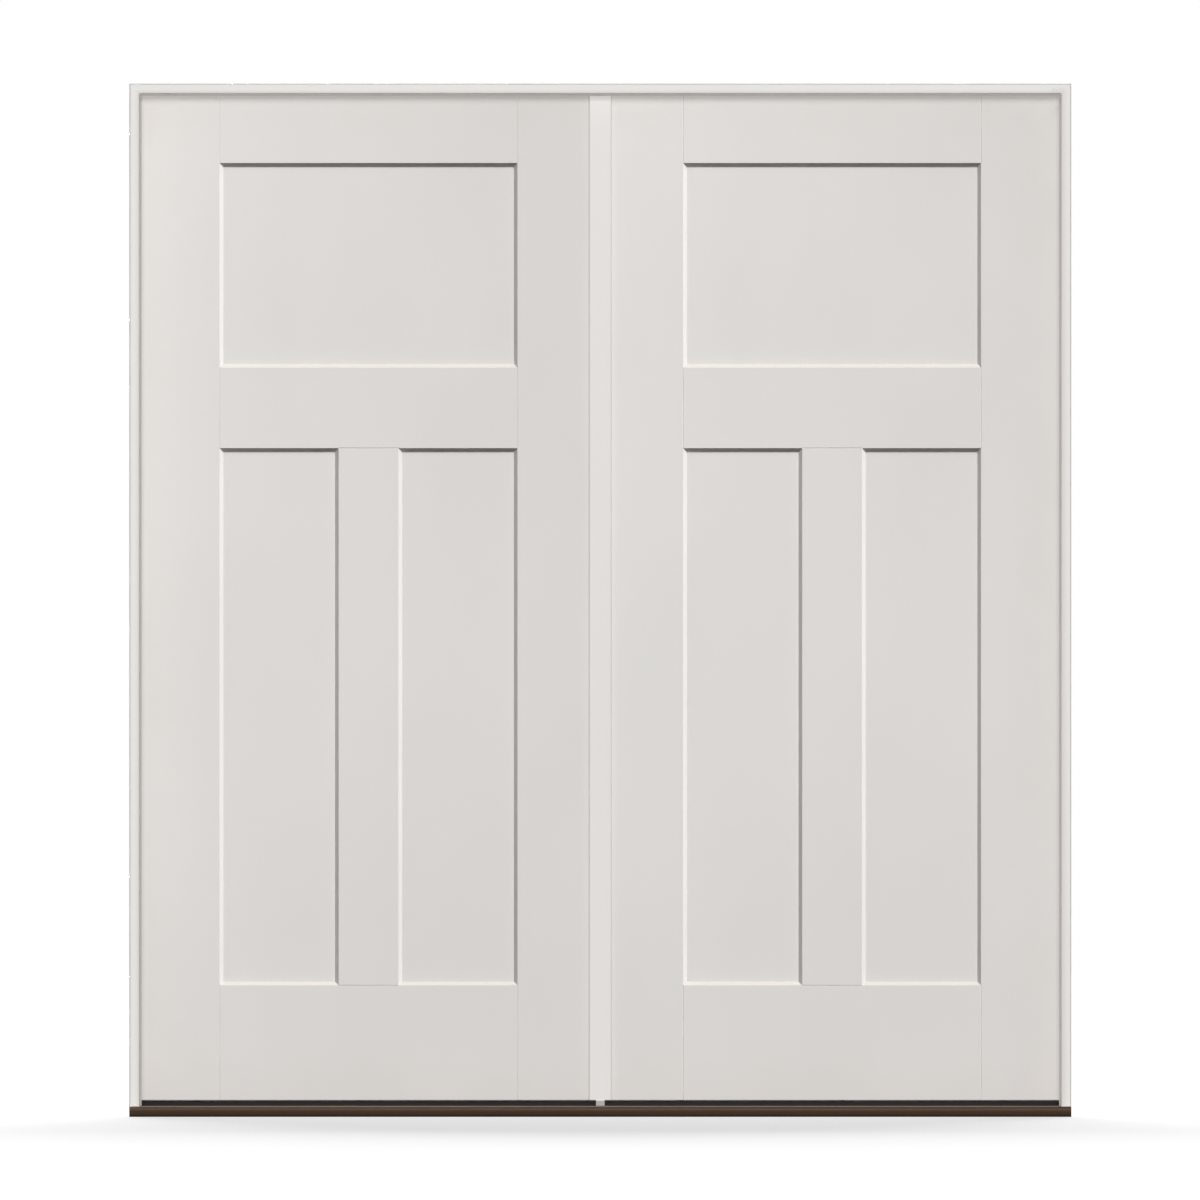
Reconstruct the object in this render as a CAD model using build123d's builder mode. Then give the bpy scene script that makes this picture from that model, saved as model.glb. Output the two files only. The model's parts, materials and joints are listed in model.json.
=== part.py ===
"""Inswing double entry door: two moulded leaves hung in a kerfed frame on a low sill.

X runs across the doorway, Y from outside into the house, Z up. The origin is on the
sill's underside, midway across and below the frame's outside face. Millimetres.
"""

import os
from math import radians, tan

from build123d import *

os.makedirs("parts", exist_ok=True)

# Frame: side jambs and head, each with a stop that the leaves close against
frame_width = 1877.5
frame_height = 2059.3
jamb_depth = 116.0
jamb_thickness = 14.0
stop_thickness = 6.0
arris_radius = 2.5
kerf_width = 2.4
kerf_depth = 10.0

# Weatherstrip pressed into the kerf: a fin and a soft bulb
fin_play = 0.15
bulb_overhang = 3.4
bulb_radius = 1.8
seal_play = 0.4

# Leaves
slab_thickness = 44.5
slab_bottom = 32.5
hinge_gap = 2.5
head_gap = 3.0
seal_gap = 5.0
meeting_gap = 17.1
skin_thickness = 2.0
stile_width = 35.0
top_rail_height = 50.0
bottom_rail_height = 70.0

# Panels: one wide panel over two tall ones, sunk into both faces with a bevelled edge
lock_margin = 156.6
hinge_margin = 162.5
mullion_width = 119.0
top_margin = 140.2
upper_panel_height = 408.5
middle_rail_height = 160.5
bottom_margin = 228.5
panel_depth = 7.4
bevel_angle = 45.0
joint_line_width = 1.6
joint_line_depth = 0.8

# Sweep under each leaf
sweep_recess = 3.0
sweep_carrier = 2.0
sweep_side_play = 0.2
sweep_fin_width = 1.0
sweep_fin_drop = 1.5
sweep_fins = 4
sweep_barb_width = 2.0
sweep_barb_height = 6.0
sweep_barb_play = 0.2

# Sill: a metal tread over a composite substrate, with an adjustable cap behind it
nose_overhang = 27.0
nose_height = 20.3
nose_radius = 12.0
tread_rise = 0.8
tread_wall = 2.0
cap_setback = 2.5
cap_width = 30.0
cap_height = 9.4
cap_radius = 2.5
cap_leg_width = 2.5
cap_leg_height = 6.0
cap_leg_inset = 2.5
cap_end_play = 0.5
cap_groove_play = 0.3
block_depth = 8.0
block_play = 1.0
pad_thickness = 2.0
pad_height = 45.0

# Butt hinges: two leaves of a folded plate round a loose pin
hinge_height = 101.6
hinge_reach = 38.5
hinge_plate = 2.3
hinge_corner_radius = 15.9
mortise_play = 0.1
knuckle_count = 3
knuckle_radius = 6.0
knuckle_play = 0.4
knuckle_standoff = 0.6
pin_radius = 3.2
pin_play = 0.05
pin_head_radius = 5.0
pin_head_height = 2.6
pin_tip = 1.0
top_hinge_drop = 229.0
bottom_hinge_rise = 330.0

# Astragal: a T on the meeting edge of the left leaf, with a flush bolt at each end
astragal_face_width = 43.2
flange_thickness = 3.0
flange_radius = 1.2
flange_head_play = 0.5
astragal_gap = 3.0
seal_bulb_width = 9.0
seal_fin_reach = 6.0
seal_fin_thickness = 2.0
seal_fin_setback = 0.6
bolt_radius = 4.0
bolt_length = 190.0
bolt_play = 0.5
bolt_travel = 15.0
bolt_slot_depth = 10.0
bolt_setback = 23.0
thumb_length = 18.0
thumb_depth = 4.2
keeper_plate = 1.0
keeper_height = 14.0
keeper_overlap = 3.0
keeper_setback = 60.0
strike_hole_play = 0.9
strike_plate_length = 60.0
strike_plate_width = 26.0
strike_plate_thickness = 1.5
strike_depth = 13.0

# Faces that pieces share
half_width = frame_width / 2
rabbet_x = half_width - jamb_thickness
stop_x = rabbet_x - stop_thickness
rabbet_z = frame_height - jamb_thickness
stop_z = rabbet_z - stop_thickness
slab_front = jamb_depth - slab_thickness
slab_middle = jamb_depth - slab_thickness / 2
stop_y = slab_front - seal_gap
hinge_edge = rabbet_x - hinge_gap
meeting_edge = meeting_gap / 2
slab_top = rabbet_z - head_gap
tread_height = nose_height + tread_rise
cap_front = slab_front + cap_setback
cap_top = tread_height + cap_height

panel_right = -meeting_edge - lock_margin
panel_left = hinge_margin - hinge_edge
upper_top = slab_top - top_margin
upper_bottom = upper_top - upper_panel_height
lower_top = upper_bottom - middle_rail_height
lower_bottom = slab_bottom + bottom_margin
lower_width = (panel_right - panel_left - mullion_width) / 2

axis_x = rabbet_x - hinge_gap / 2
axis_y = jamb_depth + knuckle_standoff + knuckle_radius
top_hinge_z = slab_top - top_hinge_drop
bottom_hinge_z = slab_bottom + bottom_hinge_rise
hinge_heights = {
    "top": top_hinge_z,
    "middle": (top_hinge_z + bottom_hinge_z) / 2,
    "bottom": bottom_hinge_z,
}

stem_left = -meeting_edge
stem_right = meeting_edge - astragal_gap
flange_front = stop_y - flange_thickness
flange_top = stop_z - bulb_overhang - flange_head_play
bolt_x = stem_right - bolt_slot_depth / 2
bolt_y = jamb_depth - bolt_setback
bolt_slot_width = 2 * (bolt_radius + bolt_play)
keeper_width = bolt_slot_width + 2 * keeper_overlap


def save(builder, label):
    """Label a finished piece and write it."""
    builder.part.label = label
    export_step(builder.part, f"parts/{label}.step")


def save_pair(builder, name):
    """Write a left-hand piece and its mirror image."""
    save(builder, f"left_{name}")
    with BuildPart() as twin:
        mirror(builder.part, about=Plane.YZ)
    save(twin, f"right_{name}")


def span(low_x, high_x, low_y, high_y, mode=Mode.ADD):
    """A rectangle in the sketch between two corners."""
    with Locations(((low_x + high_x) / 2, (low_y + high_y) / 2)):
        Rectangle(high_x - low_x, high_y - low_y, mode=mode)


def even(low, high, count):
    """Evenly spaced places from low to high."""
    return [low + (high - low) * step / (count - 1) for step in range(count)]


def sill_outline(inset):
    """The sill's section in front, in depth and height, drawn back from nose and top by the inset."""
    with BuildSketch() as outline:
        with BuildLine():
            Polyline(
                (inset - nose_overhang, 0),
                (inset - nose_overhang, nose_height - inset),
                (slab_front, tread_height - inset),
                (slab_front, 0),
                close=True,
            )
        make_face()
        nose = outline.vertices().group_by(Axis.X)[0]
        fillet(nose.sort_by(Axis.Y)[-1], nose_radius - inset)
    return outline.sketch


def cut_sill_foot():
    """Cut the open part to stand on the sill."""
    with BuildSketch(Plane.YZ) as sill_section:
        add(sill_outline(0))
        span(slab_front, jamb_depth, 0, tread_height)
    extrude(sill_section.sketch, amount=half_width, both=True, mode=Mode.SUBTRACT)


def hinge_outline(centre_z, play):
    """The outline of a hinge plate, or of its mortise, in depth and height."""
    with BuildSketch() as outline:
        span(
            jamb_depth - hinge_reach - play,
            jamb_depth,
            centre_z - hinge_height / 2 - play,
            centre_z + hinge_height / 2 + play,
        )
        fillet(outline.vertices().group_by(Axis.X)[0], hinge_corner_radius)
    return outline.sketch


def cut_mortises(low_x):
    """Cut the three hinge mortises, each from low_x inwards by the plate's thickness."""
    for centre_z in hinge_heights.values():
        with BuildSketch(Plane.YZ.offset(low_x)) as mortise:
            add(hinge_outline(centre_z, mortise_play))
        extrude(mortise.sketch, amount=hinge_plate, mode=Mode.SUBTRACT)


# Side jambs, with the inner arris stopped under the head
with BuildPart() as jamb:
    with BuildSketch(Plane.XY):
        span(-half_width, -stop_x, 0, stop_y)
        span(-half_width, -rabbet_x, stop_y, jamb_depth)
        span(-rabbet_x, -rabbet_x + kerf_width, stop_y - kerf_depth, stop_y, Mode.SUBTRACT)
    extrude(amount=frame_height)
    front_edges = jamb.faces().sort_by(Axis.Y)[0].edges()
    fillet([front_edges.sort_by(Axis.X)[0], front_edges.sort_by(Axis.Z)[-1]], arris_radius)
    with BuildSketch(Plane.XY):
        span(-stop_x - arris_radius, -stop_x, 0, arris_radius)
        with Locations((-stop_x - arris_radius, arris_radius)):
            Circle(arris_radius, mode=Mode.SUBTRACT)
    extrude(amount=stop_z, mode=Mode.SUBTRACT)
    cut_sill_foot()
    cut_mortises(-rabbet_x - hinge_plate)
save_pair(jamb, "jamb")

# Head jamb, let in between the side jambs
with BuildPart() as head_jamb:
    with BuildSketch(Plane.YZ) as head_front:
        span(0, stop_y, stop_z, frame_height)
        fillet(head_front.vertices().group_by(Axis.X)[0], arris_radius)
        span(stop_y - kerf_depth, stop_y, rabbet_z - kerf_width, rabbet_z, Mode.SUBTRACT)
    extrude(amount=stop_x, both=True)
    with BuildSketch(Plane.YZ):
        span(stop_y, jamb_depth, rabbet_z, frame_height)
    extrude(amount=rabbet_x, both=True)
    with BuildSketch(Plane.XY.offset(rabbet_z)):
        with Locations((bolt_x, bolt_y)):
            Rectangle(strike_plate_length, strike_plate_width)
    extrude(amount=strike_plate_thickness, mode=Mode.SUBTRACT)
    with BuildSketch(Plane.XY.offset(rabbet_z)):
        with Locations((bolt_x, bolt_y)):
            Circle(bolt_radius + strike_hole_play)
    extrude(amount=strike_depth, mode=Mode.SUBTRACT)
save(head_jamb, "head_jamb")

with BuildPart() as head_strike_plate:
    with BuildSketch(Plane.XY.offset(rabbet_z)):
        with Locations((bolt_x, bolt_y)):
            Rectangle(strike_plate_length, strike_plate_width)
            Circle(bolt_radius + strike_hole_play, mode=Mode.SUBTRACT)
    extrude(amount=strike_plate_thickness)
save(head_strike_plate, "head_strike_plate")


def weatherstrip_section(plane):
    """Fin and bulb. The plane's X runs from the rabbet's wall into the doorway, its Y inwards."""
    with BuildSketch(plane) as strip:
        span(fin_play, stop_thickness + bulb_overhang, stop_y, stop_y + seal_gap - seal_play)
        fillet(strip.vertices().group_by(Axis.Y)[-1], bulb_radius)
        span(fin_play, kerf_width - fin_play, stop_y - kerf_depth + fin_play, stop_y)
    return strip.sketch


# Weatherstrip: the fin sits in the kerf and the bulb lies on the stop's back
with BuildPart() as side_weatherstrip:
    extrude(
        weatherstrip_section(Plane((-rabbet_x, 0, tread_height), x_dir=(1, 0, 0), z_dir=(0, 0, 1))),
        amount=rabbet_z - tread_height,
    )
save_pair(side_weatherstrip, "weatherstrip")

with BuildPart() as head_weatherstrip:
    extrude(
        weatherstrip_section(Plane((0, 0, rabbet_z), x_dir=(0, 0, -1), z_dir=(1, 0, 0))),
        amount=stop_x - bulb_overhang - fin_play,
        both=True,
    )
save(head_weatherstrip, "head_weatherstrip")

# Sill tread, rolled over the nose
with BuildPart() as sill_tread:
    with BuildSketch(Plane.YZ):
        add(sill_outline(0))
        add(sill_outline(tread_wall), mode=Mode.SUBTRACT)
    extrude(amount=half_width, both=True)
save(sill_tread, "sill_tread")

cap_back = cap_front + cap_width
cap_leg_places = (cap_front + cap_leg_inset, cap_back - cap_leg_inset - cap_leg_width)

with BuildPart() as sill_cap:
    with BuildSketch(Plane.YZ) as cap_section:
        span(cap_front, cap_back, tread_height, cap_top)
        fillet(cap_section.vertices().group_by(Axis.Y)[-1], cap_radius)
        for leg in cap_leg_places:
            span(leg, leg + cap_leg_width, tread_height - cap_leg_height, tread_height)
    extrude(amount=rabbet_x - cap_end_play, both=True)
    with BuildSketch(Plane.XY.offset(tread_height - cap_leg_height)):
        with Locations((bolt_x, bolt_y)):
            Circle(bolt_radius + strike_hole_play)
    extrude(amount=cap_leg_height + cap_height, mode=Mode.SUBTRACT)
save(sill_cap, "sill_cap")

with BuildPart() as sill_substrate:
    with BuildSketch(Plane.YZ):
        add(sill_outline(tread_wall))
        span(slab_front, jamb_depth, 0, tread_height)
    extrude(amount=half_width, both=True)
    with BuildSketch(Plane.YZ):
        for leg in cap_leg_places:
            span(
                leg - cap_groove_play,
                leg + cap_leg_width + cap_groove_play,
                tread_height - cap_leg_height - cap_groove_play,
                tread_height,
            )
    extrude(amount=rabbet_x, both=True, mode=Mode.SUBTRACT)
    with BuildSketch(Plane.XY.offset(tread_height)):
        with Locations((bolt_x, bolt_y)):
            Circle(bolt_radius + strike_hole_play)
    extrude(amount=-(bolt_travel - slab_bottom + tread_height + 2 * strike_hole_play), mode=Mode.SUBTRACT)
save(sill_substrate, "sill_substrate")

# Block under the astragal, standing on the tread in front of the cap
with BuildPart() as sill_centre_block:
    with BuildSketch(Plane.YZ):
        span(cap_front - block_depth, cap_front, 0, slab_bottom - block_play)
    extrude(amount=meeting_edge, both=True)
    cut_sill_foot()
save(sill_centre_block, "sill_centre_block")

# Soft pads that close the corners between jamb and cap
with BuildPart() as corner_pads:
    for wall, pad in ((-rabbet_x, pad_thickness), (rabbet_x, -pad_thickness)):
        with BuildSketch(Plane.XY.offset(cap_top)):
            span(min(wall, wall + pad), max(wall, wall + pad), cap_front, cap_back)
        extrude(amount=pad_height)
save(corner_pads, "corner_pads")


# Leaves, drawn left-handed and mirrored
def panels():
    """Each panel's left, right, bottom and top edge on the left leaf."""
    return (
        (panel_left, panel_right, upper_bottom, upper_top),
        (panel_left, panel_left + lower_width, lower_bottom, lower_top),
        (panel_right - lower_width, panel_right, lower_bottom, lower_top),
    )


def sunk_panels(face_y, spread, mode):
    """The bevelled sinkings of all three panels, going inwards from a face."""
    for left, right, bottom, top in panels():
        with BuildSketch(Plane.XZ.offset(-face_y)) as sinking:
            span(left - spread, right + spread, bottom - spread, top + spread)
        extrude(sinking.sketch, amount=panel_depth, dir=(0, 1, 0), taper=bevel_angle, mode=mode)


def skin_spread():
    """How far a bevel's back stands outside its front, for a skin of even thickness."""
    return skin_thickness * tan(radians(bevel_angle / 2))


def joint_lines():
    """Cut the fine V lines where rails meet stiles."""
    half = joint_line_width / 2
    uprights = ((slab_bottom, lower_bottom), (lower_top, upper_bottom), (upper_top, slab_top))
    for x in (panel_left, panel_right):
        for low, high in uprights:
            with BuildSketch(Plane.XY.offset(low)) as upright:
                with BuildLine():
                    Polyline(
                        (x - half, slab_front),
                        (x + half, slab_front),
                        (x, slab_front + joint_line_depth),
                        close=True,
                    )
                make_face()
            extrude(upright.sketch, amount=high - low, mode=Mode.SUBTRACT)
    for z in (lower_bottom, lower_top):
        with BuildSketch(Plane.YZ.offset(panel_left + lower_width)) as across_mullion:
            with BuildLine():
                Polyline(
                    (slab_front, z - half),
                    (slab_front, z + half),
                    (slab_front + joint_line_depth, z),
                    close=True,
                )
            make_face()
        extrude(across_mullion.sketch, amount=mullion_width, mode=Mode.SUBTRACT)


with BuildPart() as exterior_skin:
    with BuildSketch(Plane.XZ.offset(-slab_front)):
        span(-hinge_edge, -meeting_edge, slab_bottom, slab_top)
    extrude(amount=skin_thickness, dir=(0, 1, 0))
    sunk_panels(slab_front + skin_thickness, skin_spread(), Mode.ADD)
    sunk_panels(slab_front, 0, Mode.SUBTRACT)
    joint_lines()
save_pair(exterior_skin, "leaf_exterior_skin")

slab_mirror = Plane((0, slab_middle, 0), z_dir=(0, 1, 0))

with BuildPart() as interior_skin:
    mirror(exterior_skin.part, about=slab_mirror)
    cut_mortises(-hinge_edge)
save_pair(interior_skin, "leaf_interior_skin")

core_front = slab_front + skin_thickness
core_back = jamb_depth - skin_thickness
core_bottom = slab_bottom + sweep_recess
hinge_stile_inner = -hinge_edge + stile_width
lock_stile_inner = -meeting_edge - stile_width


def cut_sweep_grooves():
    """Cut the two grooves that hold the sweep's barbs."""
    with BuildSketch(Plane.YZ) as grooves:
        for barb in sweep_barbs:
            span(
                barb - sweep_barb_play,
                barb + sweep_barb_width + sweep_barb_play,
                core_bottom,
                core_bottom + sweep_barb_height + sweep_barb_play,
            )
    extrude(grooves.sketch, amount=-half_width, mode=Mode.SUBTRACT)


sweep_front = core_front + sweep_side_play
sweep_back = core_back - sweep_side_play
sweep_barbs = [
    sweep_front + (sweep_back - sweep_front) * share - sweep_barb_width / 2 for share in (0.3, 0.7)
]

with BuildPart() as hinge_stile:
    with BuildSketch(Plane.XY.offset(core_bottom)):
        span(-hinge_edge, hinge_stile_inner, core_front, core_back)
    extrude(amount=slab_top - core_bottom)
    cut_mortises(-hinge_edge)
    cut_sweep_grooves()
save_pair(hinge_stile, "leaf_hinge_stile")

with BuildPart() as lock_stile:
    with BuildSketch(Plane.XY.offset(core_bottom)):
        span(lock_stile_inner, -meeting_edge, core_front, core_back)
    extrude(amount=slab_top - core_bottom)
    cut_sweep_grooves()
save_pair(lock_stile, "leaf_lock_stile")

with BuildPart() as top_rail:
    with BuildSketch(Plane.XY.offset(slab_top - top_rail_height)):
        span(hinge_stile_inner, lock_stile_inner, core_front, core_back)
    extrude(amount=top_rail_height)
save_pair(top_rail, "leaf_top_rail")

with BuildPart() as bottom_rail:
    with BuildSketch(Plane.XY.offset(core_bottom)):
        span(hinge_stile_inner, lock_stile_inner, core_front, core_back)
    extrude(amount=bottom_rail_height)
    cut_sweep_grooves()
save_pair(bottom_rail, "leaf_bottom_rail")

with BuildPart() as core:
    with BuildSketch(Plane.XY.offset(core_bottom + bottom_rail_height)):
        span(hinge_stile_inner, lock_stile_inner, core_front, core_back)
    extrude(amount=slab_top - top_rail_height - core_bottom - bottom_rail_height)
    sunk_panels(core_front, skin_spread(), Mode.SUBTRACT)
    mirror(core.part, about=slab_mirror, mode=Mode.INTERSECT)
save_pair(core, "leaf_core")

with BuildPart() as sweep:
    with BuildSketch(Plane.YZ.offset(-hinge_edge)):
        span(sweep_front, sweep_back, core_bottom - sweep_carrier, core_bottom)
        for barb in sweep_barbs:
            span(barb, barb + sweep_barb_width, core_bottom, core_bottom + sweep_barb_height)
        for fin in even(sweep_front, sweep_back - sweep_fin_width, sweep_fins):
            span(fin, fin + sweep_fin_width, slab_bottom - sweep_fin_drop, core_bottom - sweep_carrier)
    extrude(amount=hinge_edge - meeting_edge)
save_pair(sweep, "leaf_sweep")


# Hinges
def hinge_leaf(centre_z, plate_x, rows):
    """A plate with its knuckles in the given rows, bored for the pin."""
    pitch = hinge_height / knuckle_count
    with BuildPart() as leaf:
        with BuildSketch(Plane.YZ.offset(plate_x)):
            add(hinge_outline(centre_z, 0))
        extrude(amount=hinge_plate)
        for row in rows:
            with BuildSketch(Plane.XY.offset(centre_z - hinge_height / 2 + row * pitch + knuckle_play / 2)):
                span(plate_x, plate_x + hinge_plate, jamb_depth, axis_y)
                with Locations((-axis_x, axis_y)):
                    Circle(knuckle_radius)
                    Circle(pin_radius + pin_play, mode=Mode.SUBTRACT)
            extrude(amount=pitch - knuckle_play)
    return leaf


def hinge_pin(centre_z):
    """A pin whose head rests on the top knuckle."""
    top = centre_z + hinge_height / 2 - knuckle_play / 2
    with BuildPart() as pin:
        with BuildSketch(Plane.XY.offset(centre_z - hinge_height / 2 - pin_tip)):
            with Locations((-axis_x, axis_y)):
                Circle(pin_radius)
        extrude(amount=hinge_height + pin_tip)
        with BuildSketch(Plane.XY.offset(top)):
            with Locations((-axis_x, axis_y)):
                Circle(pin_head_radius)
        extrude(amount=pin_head_height)
    return pin


for place, centre_z in hinge_heights.items():
    frame_rows = range(0, knuckle_count, 2)
    door_rows = range(1, knuckle_count, 2)
    save_pair(hinge_leaf(centre_z, -rabbet_x - hinge_plate, frame_rows), f"{place}_hinge_frame_leaf")
    save_pair(hinge_leaf(centre_z, -hinge_edge, door_rows), f"{place}_hinge_door_leaf")
    save_pair(hinge_pin(centre_z), f"{place}_hinge_pin")

# Astragal
slot_length = bolt_length + bolt_travel
slot_starts = (slab_bottom, slab_top - slot_length)
keeper_starts = (
    slab_bottom + keeper_setback,
    slab_top - keeper_setback - keeper_height,
)

with BuildPart() as astragal_body:
    with BuildSketch(Plane.XY.offset(slab_bottom)) as face_strip:
        span(-astragal_face_width / 2, astragal_face_width / 2, flange_front, stop_y)
        fillet(face_strip.vertices().group_by(Axis.Y)[0], flange_radius)
        span(-astragal_face_width / 2, stem_left, stop_y, slab_front)
    extrude(amount=flange_top - slab_bottom)
    with BuildSketch(Plane.XY.offset(slab_bottom)):
        span(stem_left, stem_right, stop_y, jamb_depth)
        span(
            stem_right - seal_fin_reach,
            stem_right,
            stop_y + seal_fin_setback,
            stop_y + seal_fin_setback + seal_fin_thickness + 2 * fin_play,
            Mode.SUBTRACT,
        )
    extrude(amount=flange_top - slab_bottom)
    with BuildSketch(Plane.XY.offset(flange_top)):
        span(stem_left, stem_right, slab_front, jamb_depth)
    extrude(amount=slab_top - flange_top)
    for start in slot_starts:
        with BuildSketch(Plane.XY.offset(start)):
            with Locations((bolt_x, bolt_y)):
                Rectangle(bolt_slot_depth, bolt_slot_width)
        extrude(amount=slot_length, mode=Mode.SUBTRACT)
    for start in keeper_starts:
        with BuildSketch(Plane.XY.offset(start)):
            with Locations((stem_right - keeper_plate / 2, bolt_y)):
                Rectangle(keeper_plate, keeper_width)
        extrude(amount=keeper_height, mode=Mode.SUBTRACT)
save(astragal_body, "astragal_body")

with BuildPart() as astragal_seal:
    with BuildSketch(Plane.XY.offset(slab_bottom)) as seal_section:
        span(
            stem_right,
            stem_right + astragal_gap + seal_bulb_width,
            stop_y,
            stop_y + seal_gap - seal_play,
        )
        fillet(seal_section.vertices().group_by(Axis.Y)[-1], bulb_radius)
        span(
            stem_right - seal_fin_reach + fin_play,
            stem_right + bulb_radius,
            stop_y + seal_fin_setback + fin_play,
            stop_y + seal_fin_setback + fin_play + seal_fin_thickness,
        )
    extrude(amount=flange_top - slab_bottom)
save(astragal_seal, "astragal_seal")

with BuildPart() as bolt_keepers:
    for start in keeper_starts:
        with BuildSketch(Plane.XY.offset(start)):
            with Locations((stem_right - keeper_plate / 2, bolt_y)):
                Rectangle(keeper_plate, keeper_width)
        extrude(amount=keeper_height)
save(bolt_keepers, "bolt_keepers")


def flush_bolt(tip_z, inwards):
    """A round bolt with its thumb slide. Inwards is 1 if the bolt runs up from its tip, or -1."""
    with BuildPart() as bolt:
        with BuildSketch(Plane.XY.offset(tip_z)):
            with Locations((bolt_x, bolt_y)):
                Circle(bolt_radius)
        extrude(amount=inwards * bolt_length)
        thumb_z = tip_z + inwards * (bolt_length - thumb_length / 2)
        with Locations((bolt_x, bolt_y, thumb_z)):
            Box(
                thumb_depth,
                2 * bolt_radius,
                thumb_length,
                align=(Align.MIN, Align.CENTER, Align.CENTER),
            )
    return bolt


save(flush_bolt(slab_bottom, 1), "bottom_flush_bolt")
save(flush_bolt(slab_top, -1), "top_flush_bolt")
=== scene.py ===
# %% [markdown]
# # Double entry door
# The real object is an inswing pair of doors, sold hung in its frame. Two smooth
# glass-fibre leaves close on a slim primed pine frame and a low bronze sill. The CAD
# solids carry every main shape. This lesson gives them their finishes, adds the small
# screws and ribs that are too fine for the solids, and lights them as in a catalogue.

# %% Load the frame
import json
from math import radians

import bmesh
import bpy
from mathutils import Matrix, Vector


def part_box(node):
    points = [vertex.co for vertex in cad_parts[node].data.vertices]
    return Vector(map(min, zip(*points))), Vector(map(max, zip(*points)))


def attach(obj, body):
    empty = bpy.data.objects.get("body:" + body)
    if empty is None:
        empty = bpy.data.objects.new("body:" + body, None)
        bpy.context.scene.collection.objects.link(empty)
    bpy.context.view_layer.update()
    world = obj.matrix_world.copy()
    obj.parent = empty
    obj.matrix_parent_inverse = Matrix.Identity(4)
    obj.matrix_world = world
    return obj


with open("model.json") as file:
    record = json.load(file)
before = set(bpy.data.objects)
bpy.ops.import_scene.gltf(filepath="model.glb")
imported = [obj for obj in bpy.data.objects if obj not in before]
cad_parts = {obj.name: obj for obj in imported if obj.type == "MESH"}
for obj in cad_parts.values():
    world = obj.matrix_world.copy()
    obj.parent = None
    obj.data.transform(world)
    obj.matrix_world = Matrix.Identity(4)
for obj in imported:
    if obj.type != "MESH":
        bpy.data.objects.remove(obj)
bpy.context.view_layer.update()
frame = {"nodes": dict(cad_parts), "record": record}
nodes = frame["nodes"]

# %% [markdown]
# Stains, screws and ribs follow the edges of the solids, and a distance typed twice soon
# differs. So the few edges that they share are read from the solids' boxes, once.

# %% Edges read from the solids
MM = 0.001

stop_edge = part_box("right_jamb")[0].x
jamb_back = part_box("right_jamb")[1].x
jamb_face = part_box("head_jamb")[1].x
head_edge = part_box("head_jamb")[0].z
head_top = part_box("head_jamb")[1].z
leaf_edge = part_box("right_leaf_exterior_skin")[1].x
leaf_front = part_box("right_leaf_exterior_skin")[0].y
leaf_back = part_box("right_leaf_interior_skin")[1].y
astragal_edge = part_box("astragal_body")[1].x
print("frame face", round(jamb_back - stop_edge, 4), "leaf", round(leaf_back - leaf_front, 4))

# %% [markdown]
# Paint charts give colours as sRGB hex codes, but shaders work in linear light. One
# function turns a code into linear values, so each colour can be read off a chart.
# Another adds a node with its settings and links. A Mix node for colours has its factor
# at socket 0, its two colours at 6 and 7, and its result at output 2.


# %% Colours and nodes
def colour(code):
    """Linear colour of an sRGB hex code."""
    channels = [int(code[i : i + 2], 16) / 255 for i in (0, 2, 4)]
    linear = [c / 12.92 if c <= 0.04045 else ((c + 0.055) / 1.055) ** 2.4 for c in channels]
    return (*linear, 1.0)


def add_node(tree, kind, settings=None, links=None):
    """Add a shader node. Settings are its own properties or its sockets' values."""
    made = tree.nodes.new(f"ShaderNode{kind}")
    for name, value in (settings or {}).items():
        if isinstance(name, str) and hasattr(made, name):
            setattr(made, name, value)
        else:
            made.inputs[name].default_value = value
    for name, source in (links or {}).items():
        tree.links.new(source, made.inputs[name])
    return made


print("primer white", [round(c, 3) for c in colour("e6e3df")])

# %% [markdown]
# The photograph looks straight at the doors with no visible perspective, as a long
# lens far away does. An orthographic camera would do the same, but a very long lens
# keeps working when the camera is moved round the door, so the lens is 1200 mm.

# %% Camera
view_width = 2.3922
view_middle = (-0.6 * MM, 1.0300)
lens = 1200.0
sensor = 36.0
distance = view_width * lens / sensor

camera = bpy.data.objects.new("camera", bpy.data.cameras.new("camera"))
camera.data.lens = lens
camera.data.sensor_width = sensor
camera.data.clip_start = 1.0
camera.data.clip_end = 200.0
camera.location = (view_middle[0], -distance, view_middle[1])
camera.rotation_euler = (radians(90), 0, 0)
bpy.context.scene.collection.objects.link(camera)
bpy.context.scene.camera = camera
bpy.context.scene.view_settings.view_transform = "Standard"
print("camera stands", round(distance, 2), "m away")

# %% [markdown]
# The door stands on a plain white floor in front of nothing. The background is white
# because the world is white to the camera and in reflections, and dim as a lamp, so
# it never washes the moulding out. Rays tell what they are, so one function picks those
# that only look.


# %% World
def looking(tree, *kinds):
    """Give 1 for rays of the given kinds and 0 for the rest."""
    rays = add_node(tree, "LightPath").outputs
    found = rays[kinds[0]]
    for kind in kinds[1:]:
        both = add_node(tree, "Math", {"operation": "MAXIMUM"}, {0: found, 1: rays[kind]})
        found = both.outputs[0]
    return found


world = bpy.data.worlds.new("white_studio")
world.use_nodes = True
bpy.context.scene.world = world
tree = world.node_tree
tree.nodes.clear()
seen = looking(tree, "Is Camera Ray", "Is Glossy Ray", "Is Transmission Ray")
level = add_node(tree, "MapRange", {"To Min": 0.04, "To Max": 1.0}, {"Value": seen})
sky = add_node(tree, "Background", {"Color": colour("ffffff")}, {"Strength": level.outputs[0]})
add_node(tree, "OutputWorld", links={"Surface": sky.outputs[0]})
print(world.name, len(tree.nodes), "nodes")

# %% [markdown]
# The floor is mostly its own white with a share of matt paint over it. That share is lit
# by one wide lamp from behind the door, which lights nothing else, so the door's soft
# shadow lies on the floor in front. From below the floor is clear.

# %% Floor
floor_reach = 30.0
paint_share = 0.3

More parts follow.
